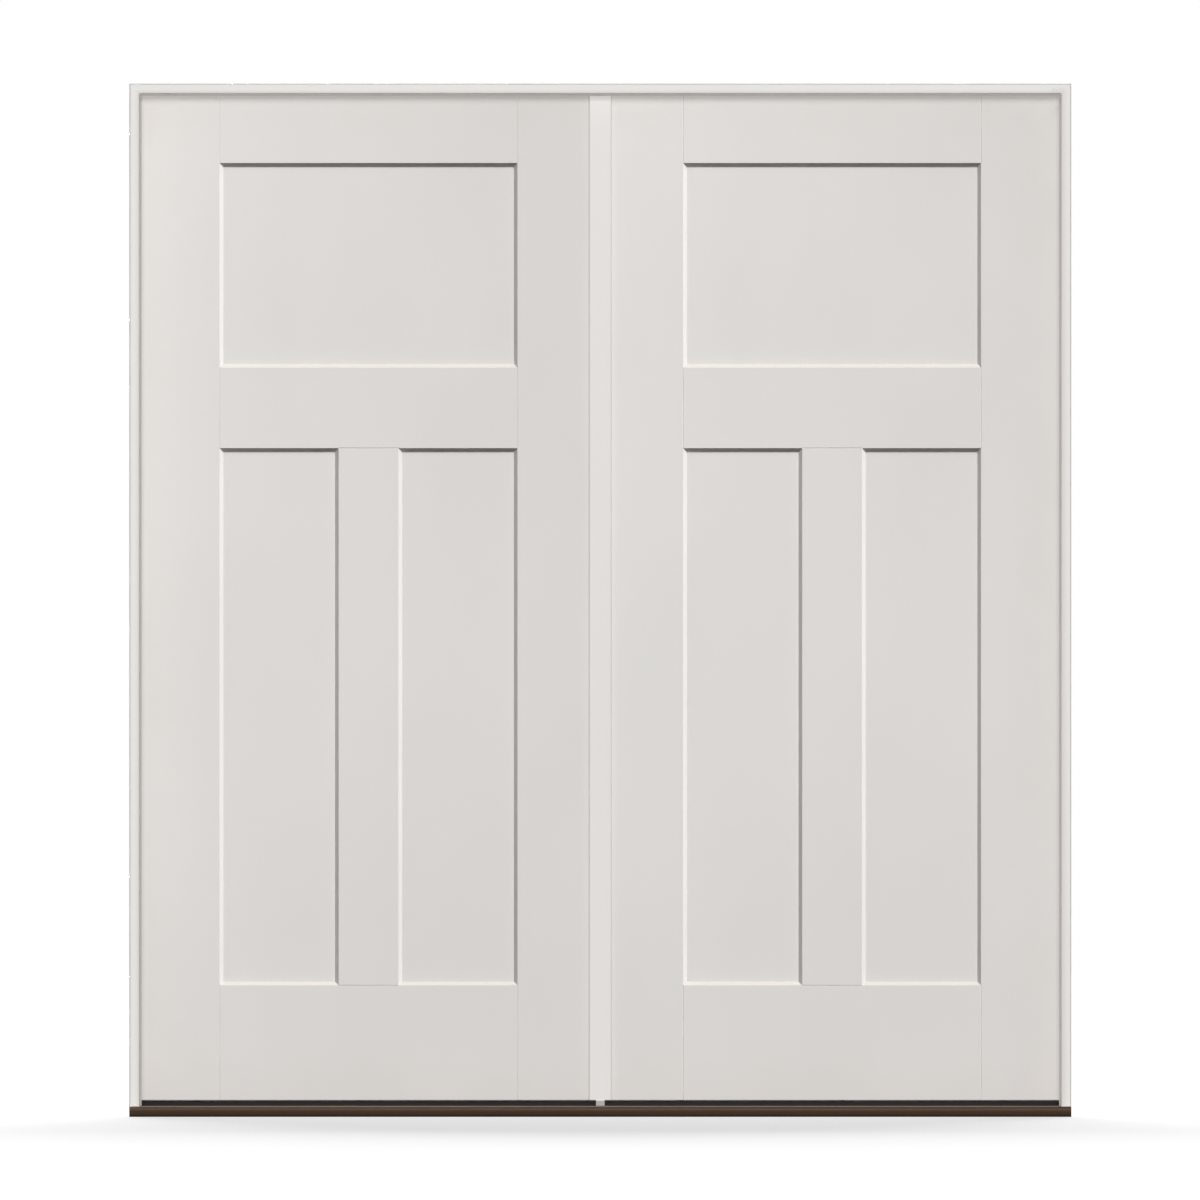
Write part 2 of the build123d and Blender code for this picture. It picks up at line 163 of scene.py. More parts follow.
floor_white = bpy.data.materials.new("white_floor")
floor_white.use_nodes = True
tree = floor_white.node_tree
tree.nodes.clear()
seen = looking(tree, "Is Camera Ray", "Is Glossy Ray")
paint = add_node(tree, "BsdfDiffuse", {"Color": colour("fafafa")})
glow = add_node(tree, "Emission", {"Color": colour("ffffff")})
bright = add_node(tree, "MixShader", {0: paint_share}, {1: glow.outputs[0], 2: paint.outputs[0]})
dim = add_node(tree, "BsdfDiffuse", {"Color": colour("404040")})
lit = add_node(tree, "MixShader", links={0: seen, 1: dim.outputs[0], 2: bright.outputs[0]})
under = add_node(tree, "NewGeometry").outputs["Backfacing"]
clear = add_node(tree, "BsdfTransparent")
both = add_node(tree, "MixShader", links={0: under, 1: lit.outputs[0], 2: clear.outputs[0]})
add_node(tree, "OutputMaterial", links={"Surface": both.outputs[0]})

floor_mesh = bmesh.new()
bmesh.ops.create_grid(floor_mesh, x_segments=1, y_segments=1, size=floor_reach)
bmesh.ops.translate(floor_mesh, verts=floor_mesh.verts, vec=(0, 0, -0.5 * MM))
floor = bpy.data.objects.new("floor", bpy.data.meshes.new("floor"))
floor_mesh.to_mesh(floor.data)
floor_mesh.free()
floor.data.materials.append(floor_white)
bpy.context.scene.collection.objects.link(floor)
print("floor is", floor.dimensions[0], "m wide")

# %% [markdown]
# The moulding is told by light alone: its edges run at 45 degrees, bright below and on
# the left, grey on the right and dark on top. So the key stands to the upper right and
# a weaker lamp grazes from the upper left. A front lamp is for the frame, and one from
# above is for the sill. Two light the room side, and one behind the door lights the
# floor. Suns are used because they light the whole height evenly.


# %% Lamps
def add_sun(name, towards, strength, spread):
    """Add a sun whose light comes from the given direction, over a spread in degrees."""
    lamp = bpy.data.objects.new(name, bpy.data.lights.new(name, "SUN"))
    lamp.data.energy = strength
    lamp.data.angle = radians(spread)
    lamp.rotation_euler = Vector(towards).to_track_quat("Z", "Y").to_euler()
    bpy.context.scene.collection.objects.link(lamp)
    return lamp


key = add_sun("key", (0.75, -1.0, 1.15), 4.60, 16)
graze = add_sun("graze", (-0.85, -0.30, 0.30), 0.52, 20)
front = add_sun("front", (0.0, -1.0, 0.32), 2.71, 10)
sill_lamp = add_sun("sill_lamp", (0.3, -0.35, 1.0), 1.2, 20)
room_key = add_sun("room_key", (-0.80, 0.80, 0.85), 3.9, 16)
room_fill = add_sun("room_fill", (0.75, 0.55, 0.35), 1.3, 40)
floor_lamp = add_sun("floor_lamp", (0.0, 0.85, 0.49), 7.2, 32)
print("lamps", [lamp.name for lamp in bpy.data.lights])

# %% [markdown]
# A real key lamp would throw the deep frame's shadow a hand wide across the doors, but
# the photograph has only a soft narrow shade under the head. A photographer would let
# the light past the frame and feather the shade with flags, half-clear sheets on stands.
# Three of them shade the key, close to the leaves: at the head, at the right jamb and in
# the astragal. The fourth stands further out at the head. It shades the front lamp, so
# that the head's strip and the top of the astragal darken too.


# %% Flags
def add_flag(name, low, high, density):
    """Add a thin half-clear sheet that only shades, between two corners."""
    cloth = bpy.data.materials.new(f"{name}_scrim")
    cloth.use_nodes = True
    cloth.node_tree.nodes.clear()
    clear = add_node(cloth.node_tree, "BsdfTransparent")
    black = add_node(cloth.node_tree, "BsdfDiffuse", {"Color": colour("000000")})
    scrim = add_node(cloth.node_tree, "MixShader", {0: density},
                     {1: clear.outputs[0], 2: black.outputs[0]})
    add_node(cloth.node_tree, "OutputMaterial", links={"Surface": scrim.outputs[0]})
    sheet = bmesh.new()
    bmesh.ops.create_grid(sheet, x_segments=1, y_segments=1, size=0.5)
    bmesh.ops.rotate(sheet, verts=sheet.verts, matrix=Matrix.Rotation(radians(90), 3, "X"))
    low, high = Vector(low), Vector(high)
    bmesh.ops.scale(sheet, verts=sheet.verts, vec=(high.x - low.x, 1, high.z - low.z))
    bmesh.ops.translate(sheet, verts=sheet.verts, vec=(low + high) / 2)
    flag = bpy.data.objects.new(name, bpy.data.meshes.new(name))
    sheet.to_mesh(flag.data)
    sheet.free()
    flag.data.materials.append(cloth)
    flag.visible_camera = False
    flag.visible_diffuse = False
    flag.visible_glossy = False
    bpy.context.scene.collection.objects.link(flag)


add_flag("head_flag", (-0.935, 0.0515, 2.0490), (0.935, 0.0515, 2.0720), 0.41)
add_flag("jamb_flag", (0.9320, 0.0465, 0.030), (0.9380, 0.0465, 2.0495), 0.08)
add_flag("astragal_flag", (-0.0212, 0.0670, 0.034), (0.0212, 0.0670, 2.0360), 0.12)
add_flag("reveal_flag", (-0.935, 0.0200, 2.0412), (0.935, 0.0200, 2.0720), 0.30)
key_flags = ["head_flag", "jamb_flag", "astragal_flag"]
front_flags = ["reveal_flag"]
print(key_flags + front_flags, "are in")

# %% [markdown]
# A finish starts from its pattern, read in the object's own coordinates so that it
# stays with a leaf as the leaf swings, and ends in one Principled shader. The helpers
# here are the steps that most finishes share: start one, grain it, stain it and end it.


# %% Steps of a finish
def open_finish(name):
    """Start an empty material. Give it, its node tree and its coordinates in metres."""
    finish = bpy.data.materials.new(name)
    finish.use_nodes = True
    finish.node_tree.nodes.clear()
    place = add_node(finish.node_tree, "TexCoord").outputs["Object"]
    return finish, finish.node_tree, place


def grained(tree, place, size, stretch=(1, 1, 1), detail=2.0):
    """Noise whose grains are about the given size in metres, drawn out along an axis."""
    laid = add_node(tree, "Mapping", {"Scale": stretch}, {"Vector": place})
    noise = add_node(tree, "TexNoise", {"Scale": 1 / size, "Detail": detail},
                     {"Vector": laid.outputs[0]})
    return noise.outputs["Fac"]


def stained(tree, base, stain, measure, span, shares):
    """Stain a base colour, by a share that goes from one to another as a measure crosses a span."""
    share = add_node(tree, "MapRange",
                     {"interpolation_type": "SMOOTHSTEP", "From Min": span[0], "From Max": span[1],
                      "To Min": shares[0], "To Max": shares[1]}, {"Value": measure})
    blend = add_node(tree, "Mix", {"data_type": "RGBA", 7: colour(stain)},
                     {0: share.outputs[0], 6: base})
    return blend.outputs[2]


def close_finish(tree, settings, links, rough=None, relief=None):
    """End a material in a Principled shader.

    Rough is a noise with the roughness where it is low and where it is high. Relief is a
    pattern with its real depth in metres and its strength.
    """
    links = dict(links)
    if rough:
        noise, least, most = rough
        links["Roughness"] = add_node(
            tree, "MapRange", {"interpolation_type": "SMOOTHSTEP", "From Min": 0.3, "From Max": 0.7,
                               "To Min": least, "To Max": most}, {"Value": noise}).outputs[0]
    if relief:
        pattern, depth, strength = relief
        links["Normal"] = add_node(tree, "Bump", {"Strength": strength, "Distance": depth},
                                   {"Height": pattern}).outputs[0]
    shader = add_node(tree, "BsdfPrincipled", settings, links)
    add_node(tree, "OutputMaterial", links={"Surface": shader.outputs[0]})


# %% [markdown]
# The leaf skins are compression-moulded glass fibre with a sprayed primer coat. Sprayed
# primer is satin and drifts a little in tone over a hand's width, warmer here and
# greener there. Both leaves come off one line, so the drift is nearly the same on each:
# the right leaf reads the pattern about one leaf's width to the left. Over the drift lies
# painted light: the skin is painted lightest at the top hinge corner and darker down and
# across, with painted shade under the head and by the right jamb.

# %% Painted light and tone drift on the skin
pattern_shift = 0.9248
leaf_middle = 0.465

skin, tree, place = open_finish("sprayed_primer_on_glass_fibre")
axes = add_node(tree, "SeparateXYZ", links={0: place}).outputs
on_right = add_node(tree, "Math", {"operation": "GREATER_THAN", 1: 0.0}, {0: axes["X"]})
across = add_node(tree, "Math", {"operation": "MULTIPLY_ADD", 1: -pattern_shift},
                  {0: on_right.outputs[0], 2: axes["X"]}).outputs[0]
same = add_node(tree, "CombineXYZ", links={"X": across, "Y": axes["Y"], "Z": axes["Z"]}).outputs[0]
# Painted light: the skin is painted lightest at the top hinge corner and darker downwards and across the
# leaves
rise = add_node(tree, "MapRange",
                {"interpolation_type": "SMOOTHSTEP", "From Max": 1.1, "To Min": 0.30, "To Max": 0.60},
                {"Value": axes["Z"]})
centred = add_node(tree, "Math", {"operation": "ADD", 1: leaf_middle}, {0: across})
fall = add_node(tree, "Math", {"operation": "MULTIPLY"}, {0: centred.outputs[0], 1: axes["Z"]})
finish_level = add_node(tree, "Math", {"operation": "MULTIPLY_ADD", 1: -0.35},
                {0: fall.outputs[0], 2: rise.outputs[0]}).outputs[0]
# Painted shade: darker under the head and by the right jamb, where the frame shades the leaves, and darker
# towards the bottom edge
for axis, inner, outer, darker_by in (("Z", 1.92, 2.04, 0.35), ("Z", 0.14, 0.03, 0.18),
                                 ("X", 0.78, 0.92, 0.35)):
    edge_darkening = add_node(tree, "MapRange",
                       {"interpolation_type": "SMOOTHSTEP", "From Min": inner, "From Max": outer,
                        "To Max": darker_by}, {"Value": axes[axis]})
    finish_level = add_node(tree, "Math", {"operation": "SUBTRACT"},
                    {0: finish_level, 1: edge_darkening.outputs[0]}).outputs[0]
cloud = grained(tree, same, 0.30, (1, 1, 0.6), 3.0)
lowered = add_node(tree, "Math", {"operation": "ADD", 1: -0.20}, {0: finish_level})
finish_level = add_node(tree, "Math", {"operation": "MULTIPLY_ADD", 1: 0.4},
                {0: cloud, 2: lowered.outputs[0]}).outputs[0]
print(skin.name, len(tree.nodes), "nodes so far")

# %% [markdown]
# The tone follows that level. Then come painted shades: a faint dark line just outside
# the astragal's edge on both leaves, shade beside the strips, and darker faces that look up.

# %% Primed glass-fibre skin
warm, green = [
    add_node(tree, "Mix", {"data_type": "RGBA", 6: colour(darker_code), 7: colour(lighter_code)}, {0: finish_level}).outputs[2]
    for darker_code, lighter_code in (("d4d0cd", "e4e0dd"), ("d1d0cc", "e1e0dc"))]
greener = add_node(tree, "MapRange",
                   {"interpolation_type": "SMOOTHSTEP", "From Min": 0.45, "From Max": 0.62,
                    "To Max": 0.5}, {"Value": grained(tree, same, 0.22, (1, 1, 0.7))})
tone = add_node(tree, "Mix", {"data_type": "RGBA"},
                {0: greener.outputs[0], 6: warm, 7: green}).outputs[2]
# Painted shade: a faint dark line 0.9 mm outside the astragal's edge, on both leaves, where the gap beside
# it lies in shade
side = add_node(tree, "Math", {"operation": "ABSOLUTE"}, {0: axes["X"]}).outputs[0]
past = add_node(tree, "Math", {"operation": "SUBTRACT", 1: astragal_edge + 0.9 * MM}, {0: side})
gap_line_distance = add_node(tree, "Math", {"operation": "ABSOLUTE"}, {0: past.outputs[0]}).outputs[0]
tone = stained(tree, tone, "8a8683", gap_line_distance, (0.7 * MM, 1.4 * MM), (0.3, 0.0))
# Painted shade: the leaves darken beside the weatherstrips, in the frame's recess
strip_shade_span = (leaf_edge - 15.75 * MM, leaf_edge - 5.75 * MM)
tone = stained(tree, tone, "8a8683", side, strip_shade_span, (0.0, 0.22))
# Painted shade: faces that look up are darkened, which dims the key's light on the lower bevels
normal = add_node(tree, "NewGeometry").outputs["Normal"]
upwards = add_node(tree, "SeparateXYZ", links={0: normal}).outputs["Z"]
tone = stained(tree, tone, "b9b4ad", upwards, (0.4, 0.7), (0.0, 0.7))
# Orange peel is 1 to 2 mm wide on the real coat; it is drawn at 5 mm so that it shows
peel = grained(tree, place, 5 * MM)
close_finish(tree, {"IOR": 1.5, "Specular IOR Level": 0.35}, {"Base Color": tone},
             rough=(cloud, 0.44, 0.52), relief=(peel, 0.05 * MM, 0.3))
print(skin.name, len(tree.nodes), "nodes")

# %% [markdown]
# The frame is finger-jointed pine, primed on the faces that show and left raw where it
# goes against the wall. The grain runs along each length, so the head has its own copy
# with the grain turned. The primer has painted shade towards the reveal and at its outer
# edge, and a painted highlight on its inner arris; the grain telegraphs faintly through it.


# %% Primed pine frame
def primed_pine(name, along):
    """Primed outside, raw at the back, with the grain along one axis."""
    finish, tree, place = open_finish(name)
    axes = add_node(tree, "SeparateXYZ", links={0: place}).outputs
    # Outwards is the distance from the stop's edge, on the jambs and on the head alike
    side = add_node(tree, "Math", {"operation": "ABSOLUTE"}, {0: axes["X"]})
    on_jamb = add_node(tree, "Math", {"operation": "SUBTRACT", 1: stop_edge}, {0: side.outputs[0]})
    on_head = add_node(tree, "Math", {"operation": "SUBTRACT", 1: head_edge}, {0: axes["Z"]})
    outwards = add_node(tree, "Math", {"operation": "MAXIMUM"},
                        {0: on_jamb.outputs[0], 1: on_head.outputs[0]}).outputs[0]
    stretch = tuple(0.04 if axis == along else 1 for axis in "XYZ")
    grain = grained(tree, place, 6 * MM, stretch, 4.0)
    # Painted shade: the primer darkens over 9 mm towards the reveal, and over 17 mm on the right jamb
    on_right = add_node(tree, "Math", {"operation": "GREATER_THAN", 1: 0.9}, {0: axes["X"]})
    shade_width = add_node(tree, "Math", {"operation": "MULTIPLY_ADD", 1: 8 * MM, 2: 9 * MM},
                     {0: on_right.outputs[0]})
    share = add_node(tree, "Math", {"operation": "DIVIDE"}, {0: outwards, 1: shade_width.outputs[0]})
    reveal_shade = add_node(tree, "MapRange",
                     {"interpolation_type": "SMOOTHSTEP", "To Min": 1.0, "To Max": 0.0},
                     {"Value": share.outputs[0]})
    primer = add_node(tree, "Mix", {"data_type": "RGBA", 6: colour("e6e3df"), 7: colour("d3d0cc")},
                      {0: reveal_shade.outputs[0]}).outputs[2]
    # Painted highlight: the rounded inner arris is made whiter
    primer = stained(tree, primer, "f0ede9", outwards, (0.5 * MM, 2.5 * MM), (0.5, 0.0))
    # Sprayed paint draws back from a sharp outer edge
    # Painted shade: a dark line along the rounded outer edge
    primer = stained(tree, primer, "c2bfbb", outwards, (18.4 * MM, 19.2 * MM), (0.0, 0.8))
    primer = stained(tree, primer, "dcd8d2", grain, (0.55, 0.75), (0.0, 0.25))
    # Finger joints: 10 mm fingers on a 4 mm pitch, between blocks about 0.4 m long
    depth = add_node(tree, "Math", {"operation": "MULTIPLY", 1: 5.0}, {0: axes["Y"]})
    fingers = add_node(tree, "Math", {"operation": "PINGPONG", 1: 10 * MM}, {0: depth.outputs[0]})
    run = add_node(tree, "Math", {"operation": "ADD"}, {0: axes[along], 1: fingers.outputs[0]})
    blocks = add_node(tree, "Math", {"operation": "DIVIDE", 1: 0.41}, {0: run.outputs[0]})
    block = add_node(tree, "Math", {"operation": "FLOOR"}, {0: blocks.outputs[0]})
    shade = add_node(tree, "TexWhiteNoise", {"noise_dimensions": "1D"}, {"W": block.outputs[0]})
    pine = add_node(tree, "Mix", {"data_type": "RGBA", 6: colour("c9a06b"), 7: colour("e0c193")},
                    {0: shade.outputs["Value"]}).outputs[2]
    pine = stained(tree, pine, "a87c48", grain, (0.50, 0.70), (0.0, 0.7))
    raw_from = jamb_back - stop_edge - 0.1 * MM
    raw = add_node(tree, "Math", {"operation": "GREATER_THAN", 1: raw_from}, {0: outwards})
    tone = add_node(tree, "Mix", {"data_type": "RGBA"}, {0: raw.outputs[0], 6: primer, 7: pine})
    # At the outer edge the coat is thin: it has no shine, and the sanded grain is flat
    finish_level = add_node(tree, "MapRange",
                    {"interpolation_type": "SMOOTHSTEP", "From Min": 16.5 * MM, "From Max": 18.0 * MM,
                     "To Min": 1.0, "To Max": 0.0}, {"Value": outwards}).outputs[0]
    rough = add_node(tree, "Math", {"operation": "MULTIPLY_ADD", 1: -0.25, 2: 0.67}, {0: finish_level})
    shine = add_node(tree, "Math", {"operation": "MULTIPLY", 1: 0.5}, {0: finish_level})
    swell = add_node(tree, "Math", {"operation": "MULTIPLY"}, {0: grain, 1: finish_level})
    close_finish(tree, {"IOR": 1.5},
                 {"Base Color": tone.outputs[2], "Roughness": rough.outputs[0],
                  "Specular IOR Level": shine.outputs[0]},
                 relief=(swell.outputs[0], 0.08 * MM, 0.35))
    return finish


jamb_pine = primed_pine("primed_pine_upright", "Z")
head_pine = primed_pine("primed_pine_across", "X")
print(jamb_pine.name, head_pine.name)

# %% [markdown]
# The astragal is an aluminium extrusion with a powder coat. Baked powder has no brush
# marks or runs. It is a little glossier than primer and has a fine even dimple.

# %% Powder-coated astragal
powder, tree, place = open_finish("powder_coated_aluminium")
cloud = grained(tree, place, 0.15, (1, 1, 0.3))
dimple = grained(tree, place, 2 * MM)
tone = add_node(tree, "Mix", {"data_type": "RGBA", 6: colour("e0dcd9"), 7: colour("e3dfdc")}, {0: cloud})
close_finish(tree, {"IOR": 1.5}, {"Base Color": tone.outputs[2]},
             rough=(cloud, 0.34, 0.40), relief=(dimple, 0.03 * MM, 0.3))
print(powder.name)

# %% [markdown]
# The leaf's stiles are laminated pine: veneers about 3 mm thick, glued face to face and
# standing on edge. Seen on the leaf's edge they give straight pale lines with thin dark
# glue lines between, and the grain is drawn out along the height.

# %% Laminated pine stiles
laminate, tree, place = open_finish("laminated_pine")
depth = add_node(tree, "SeparateXYZ", links={0: place}).outputs["Y"]
fibre = grained(tree, place, 4 * MM, (1, 1, 0.03), 4.0)
waver = add_node(tree, "Math", {"operation": "MULTIPLY_ADD", 1: 0.8 * MM}, {0: fibre, 2: depth})
veneers = add_node(tree, "Math", {"operation": "DIVIDE", 1: 3.2 * MM}, {0: waver.outputs[0]}).outputs[0]
veneer = add_node(tree, "Math", {"operation": "FLOOR"}, {0: veneers})
shade = add_node(tree, "TexWhiteNoise", {"noise_dimensions": "1D"}, {"W": veneer.outputs[0]})
timber = add_node(tree, "Mix", {"data_type": "RGBA", 6: colour("c39a63"), 7: colour("dcbb8a")},
                  {0: shade.outputs["Value"]}).outputs[2]
timber = stained(tree, timber, "a97f4d", fibre, (0.50, 0.72), (0.0, 0.7))
glue_line = add_node(tree, "Math", {"operation": "FRACT"}, {0: veneers}).outputs[0]
timber = stained(tree, timber, "7a5633", glue_line, (0.0, 0.14), (0.7, 0.0))
close_finish(tree, {"IOR": 1.5, "Roughness": 0.62}, {"Base Color": timber},
             relief=(fibre, 0.15 * MM, 0.5))
print(laminate.name)

# %% [markdown]
# The bottom rail and the sill's substrate are wood-plastic composite, which doesn't rot.
# It is extruded, so it shows fine lines along its length and pale flecks of wood flour.

# %% Wood-plastic composite
composite, tree, place = open_finish("wood_plastic_composite")
lines = grained(tree, place, 2.5 * MM, (0.02, 1, 1))
flecks = add_node(tree, "TexVoronoi", {"Scale": 1 / (3 * MM)}, {"Vector": place}).outputs["Distance"]
body = add_node(tree, "Mix", {"data_type": "RGBA", 6: colour("5e564c"), 7: colour("6d6458")}, {0: lines})
body = stained(tree, body.outputs[2], "95866f", flecks, (0.08, 0.24), (0.8, 0.0))
close_finish(tree, {"IOR": 1.5, "Roughness": 0.66}, {"Base Color": body},
             relief=(lines, 0.1 * MM, 0.5))
print(composite.name)

# %% [markdown]
# The core is rigid polyurethane foam, foamed in place between the skins. It is hidden,
# but the exported part keeps it, so it gets closed cells and its pale amber colour.

# %% Rigid foam core
core_foam, tree, place = open_finish("rigid_polyurethane_foam")
cells = add_node(tree, "TexVoronoi", {"Scale": 1 / (1.5 * MM)}, {"Vector": place}).outputs["Distance"]
wall = add_node(tree, "MapRange",
                {"interpolation_type": "SMOOTHSTEP", "From Min": 0.1, "From Max": 0.5}, {"Value": cells})
tone = add_node(tree, "Mix", {"data_type": "RGBA", 6: colour("cdb37a"), 7: colour("e6d3a0")},
                {0: wall.outputs[0]})
close_finish(tree, {"IOR": 1.5, "Roughness": 0.85}, {"Base Color": tone.outputs[2]},
             relief=(cells, 0.3 * MM, 0.6))
print(core_foam.name)

# %% [markdown]
# Weatherstrip is soft foam in a thin welded vinyl skin. The skin is pale grey and dull,
# and it wrinkles slightly along its length where the foam inside gives.

# %% Vinyl-clad foam seals
lightened_from = 2.030

strip_vinyl, tree, place = open_finish("vinyl_clad_foam")
wrinkle = grained(tree, place, 7 * MM, (1, 1, 0.25), 3.0)
# Painted light: the head's strip is a lighter copy of the side strips' tone, to offset the shade that falls
# on it
side_strip_tone, head_strip_lightened = [
    add_node(tree, "Mix", {"data_type": "RGBA", 6: colour(low), 7: colour(high)}, {0: wrinkle}).outputs[2]
    for low, high in (("9e9a97", "aaa6a2"), ("b0aca9", "bcb8b4"))]
height = add_node(tree, "SeparateXYZ", links={0: place}).outputs["Z"]
at_head = add_node(tree, "Math", {"operation": "GREATER_THAN", 1: lightened_from}, {0: height})
vinyl = add_node(tree, "Mix", {"data_type": "RGBA"}, {0: at_head.outputs[0], 6: side_strip_tone, 7: head_strip_lightened})
close_finish(tree, {"IOR": 1.52}, {"Base Color": vinyl.outputs[2]},
             rough=(wrinkle, 0.50, 0.62), relief=(wrinkle, 0.3 * MM, 0.5))
print(strip_vinyl.name)

# %% [markdown]
# The sweep under each leaf is extruded in soft black vinyl. Black plastic is never quite
# black: dust and handling leave a grey bloom in patches.

# %% Soft black vinyl
sweep_vinyl, tree, place = open_finish("soft_black_vinyl")
bloom = grained(tree, place, 12 * MM, (0.2, 1, 1), 3.0)
tone = add_node(tree, "Mix", {"data_type": "RGBA", 6: colour("262320"), 7: colour("35312d")}, {0: bloom})
close_finish(tree, {"IOR": 1.52}, {"Base Color": tone.outputs[2]},
             rough=(bloom, 0.42, 0.56), relief=(bloom, 0.1 * MM, 0.3))
print(sweep_vinyl.name)

# %% [markdown]
# The tread is an aluminium extrusion, anodised dark bronze. The die leaves fine lines
# along the length, which the anodising keeps. The nose's colour is painted to fall from
# brown at the lip to near black at the floor, as painted light and shade, with a painted
# highlight along its top edge.

# %% Bronze-anodised aluminium
bronze, tree, place = open_finish("bronze_anodised_aluminium")
axes = add_node(tree, "SeparateXYZ", links={0: place}).outputs
# Die lines are about 0.2 mm apart on the real sill; they are drawn at 1 mm
die = grained(tree, place, 1 * MM, (0.004, 1, 1), 3.0)
patches = grained(tree, place, 60 * MM, (0.4, 1, 1), 3.0)
# Painted shade: the nose darkens over its lowest 8 mm; patches vary it at random
height = add_node(tree, "MapRange", {"interpolation_type": "SMOOTHSTEP", "From Max": 8 * MM},
                  {"Value": axes["Z"]})
level = add_node(tree, "Math", {"operation": "SUBTRACT", 1: 0.08}, {0: height.outputs[0]})
height_shade_and_patches = add_node(tree, "Math", {"operation": "MULTIPLY_ADD", 1: 0.16}, {0: patches, 2: level.outputs[0]})
metal = add_node(tree, "Mix", {"data_type": "RGBA", 6: colour("31271f"), 7: colour("47392f")},
                 {0: height_shade_and_patches.outputs[0]}).outputs[2]
# Painted highlight along the top 2 mm of the nose
metal = stained(tree, metal, "7d6f62", axes["Z"], (18.5 * MM, 20.5 * MM), (0.0, 0.8))
metal = stained(tree, metal, "6c5c4e", die, (0.55, 0.75), (0.0, 0.2))
# Painted shade: the back of the tread, under the leaves and against the cap, is darkened
metal = stained(tree, metal, "2a221c", axes["Y"], (5 * MM, 45 * MM), (0.0, 0.75))
close_finish(tree, {"Metallic": 1.0, "Anisotropic": 0.4}, {"Base Color": metal},
             rough=(die, 0.46, 0.58), relief=(die, 0.04 * MM, 0.3))
print(bronze.name)

# %% [markdown]
# The cap that the leaves close on is rigid brown vinyl, screwed down so that it can be
# raised against the sweep. It is matt, with faint die lines along it.

# %% Brown vinyl cap
cap_vinyl, tree, place = open_finish("rigid_brown_vinyl")
die = grained(tree, place, 1.5 * MM, (0.01, 1, 1))
tone = add_node(tree, "Mix", {"data_type": "RGBA", 6: colour("342f2a"), 7: colour("403b35")}, {0: die})
close_finish(tree, {"IOR": 1.53, "Specular IOR Level": 0.48}, {"Base Color": tone.outputs[2]},
             rough=(die, 0.50, 0.60), relief=(die, 0.05 * MM, 0.4))
print(cap_vinyl.name)

# %% [markdown]
# The small block under the astragal is moulded in grey plastic. A spark-eroded mould
# leaves an even grain on it, which takes the shine off.

# %% Grey moulded block
grey_plastic, tree, place = open_finish("grey_moulded_abs")
grain = grained(tree, place, 0.8 * MM)
tone = add_node(tree, "Mix", {"data_type": "RGBA", 6: colour("a8a5a2"), 7: colour("b0adaa")}, {0: grain})
close_finish(tree, {"IOR": 1.54}, {"Base Color": tone.outputs[2]},
             rough=(grain, 0.48, 0.58), relief=(grain, 0.05 * MM, 0.5))
print(grey_plastic.name)

# %% [markdown]
# Door hinges come satin nickel plated: a warm silver, brushed along the plate before it
# is plated, so the shine is drawn out across the brush lines.

# %% Satin nickel
nickel, tree, place = open_finish("satin_nickel_plate")
brushed = grained(tree, place, 0.8 * MM, (1, 1, 0.02), 3.0)
handled = grained(tree, place, 25 * MM)
tone = add_node(tree, "Mix", {"data_type": "RGBA", 6: colour("b5aea4"), 7: colour("c6c0b6")}, {0: handled})
close_finish(tree, {"Metallic": 1.0, "Anisotropic": 0.5}, {"Base Color": tone.outputs[2]},
             rough=(brushed, 0.26, 0.38), relief=(brushed, 0.03 * MM, 0.4))
print(nickel.name)

# %% [markdown]
# Bolts, screws and the strike plate are bright zinc plated steel. Passivated zinc is
# bluish and cloudy, with crystals a few millimetres wide.

# %% Bright zinc
zinc, tree, place = open_finish("bright_zinc_plate")
cells = add_node(tree, "TexVoronoi", {"Scale": 1 / (3 * MM)}, {"Vector": place})
crystals = add_node(tree, "SeparateColor", links={0: cells.outputs["Color"]}).outputs[0]
tone = add_node(tree, "Mix", {"data_type": "RGBA", 6: colour("b3b6b9"), 7: colour("c5c6c4")}, {0: crystals})
rough = add_node(tree, "MapRange", {"interpolation_type": "SMOOTHSTEP", "To Min": 0.28, "To Max": 0.40},
                 {"Value": crystals})
close_finish(tree, {"Metallic": 1.0}, {"Base Color": tone.outputs[2], "Roughness": rough.outputs[0]})
print(zinc.name)

# %% [markdown]
# Each solid names the finish it takes, so one table joins the record's slots to the
# finishes. The head's grain runs across, so it alone takes its own copy.

# %% Dress the solids
finishes = {
    "leaf_skin": skin,
    "frame_paint": jamb_pine,
    "astragal_paint": powder,
    "stile_wood": laminate,
    "composite": composite,
    "foam": core_foam,
    "seal_foam": strip_vinyl,
    "seal_black": sweep_vinyl,
    "sill_bronze": bronze,
    "cap_vinyl": cap_vinyl,
    "block_grey": grey_plastic,
    "hinge_steel": nickel,
    "bolt_steel": zinc,
}
for part in frame["record"]["subparts"]:
    solid = nodes[part["node"]]
    finish = head_pine if part["node"] == "head_jamb" else finishes[part["material_slot"]]
    for slot in solid.material_slots:
        slot.material = finish

# %% [markdown]
# Every hinge plate is held by four countersunk screws with a cross recess. A head is a
# circle, extruded up and drawn in a little. Its top is filled round a cross, and the
# cross's edges are extruded down to a floor of their own, so the recess is really cut.


